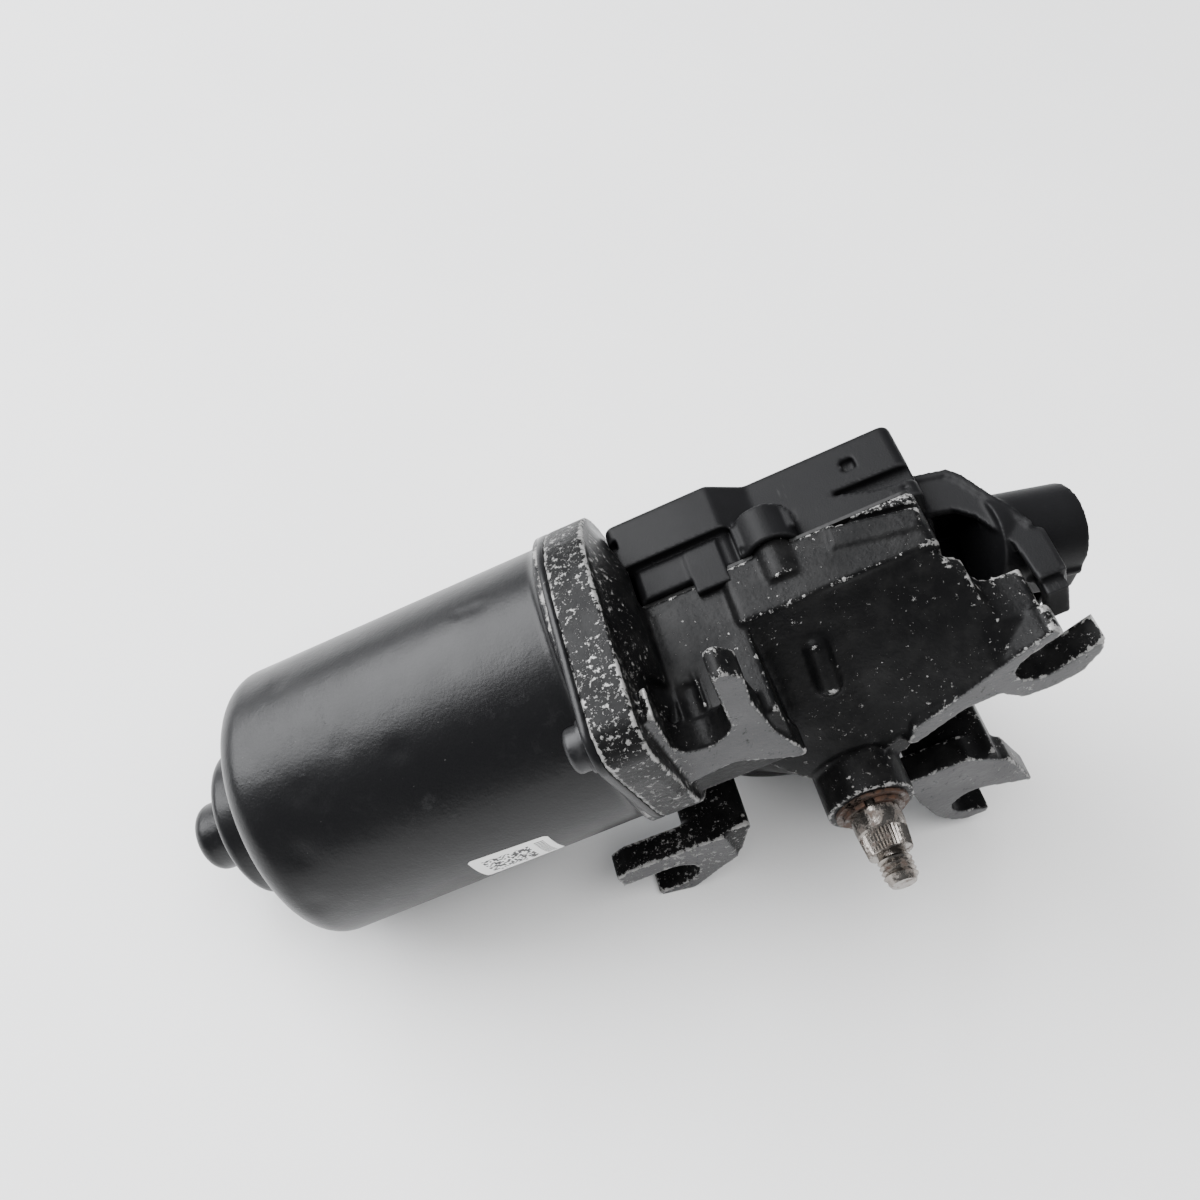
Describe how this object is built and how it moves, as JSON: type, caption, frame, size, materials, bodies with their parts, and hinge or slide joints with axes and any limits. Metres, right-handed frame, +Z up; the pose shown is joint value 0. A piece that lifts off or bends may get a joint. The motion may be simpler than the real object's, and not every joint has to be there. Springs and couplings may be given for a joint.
{
  "type": "windshield wiper motor",
  "caption": "Windshield wiper motor: round can, worm gearbox with slotted feet, plastic cover with a plug socket, and a knurled threaded output shaft.",
  "frame": {"origin": "on the output shaft's axis, at the shoulder where the knurled taper meets the thread", "axes": "the output shaft points along -Y; +Z is up as the motor lies on a bench, with the motor's axis in the XZ plane and rising 22 degrees towards +X"},
  "size_m": [0.2066, 0.0965, 0.1036],
  "materials": {
    "black_steel": "satin black paint",
    "black_casting": "black paint on die-cast aluminium, chipped",
    "black_plastic": "fine moulded grain",
    "bright_steel": "machined, light rust",
    "plated_steel": "zinc plated",
    "black_screw": "black oxide",
    "bronze": "sintered, oiled",
    "copper": "bright",
    "enamelled_wire": "varnished",
    "ferrite": "ground",
    "lamination": "stamped steel",
    "rubber": "matt",
    "phenolic": "moulded",
    "carbon": "matt",
    "wheel_nylon": "moulded"
  },
  "bodies": {
    "housing": {"motor_can": "black_steel", "can_screws": "black_screw", "can_screw_washers": "black_screw", "field_magnets": "ferrite", "rear_bearing": "bronze", "thrust_ball": "bright_steel", "brush_plate": "phenolic", "brush_holders": "plated_steel", "carbon_brushes": "carbon", "brush_springs": "plated_steel", "front_bearing": "bronze", "end_bearing": "bronze", "thrust_button": "wheel_nylon", "gear_housing": "black_casting", "shaft_bushes": "bronze", "shaft_seal": "rubber", "retaining_washer": "plated_steel", "gear_cover": "black_plastic", "cover_gasket": "rubber", "cover_screws": "plated_steel", "connector_terminals": "plated_steel"},
    "armature": {"armature_shaft": "bright_steel", "rotor_core": "lamination", "rotor_windings": "enamelled_wire", "commutator": "copper"},
    "output": {"worm_wheel": "wheel_nylon", "park_plate": "copper", "output_shaft": "bright_steel", "retaining_ring": "plated_steel"}
  },
  "joints": [
    {"name": "armature_spin", "type": "hinge", "parent": "housing", "child": "armature", "pos_m": [-0.01376, 0.0506, 0.03406], "axis": [0.9272, 0, 0.3746], "continuous": true},
    {"name": "output_spin", "type": "hinge", "parent": "housing", "child": "output", "pos_m": [0, 0, 0], "axis": [0, -1, 0], "continuous": true}
  ],
  "couplings": [
    {"joint": "output_spin", "follows": "armature_spin", "ratio": 0.015873}
  ]
}
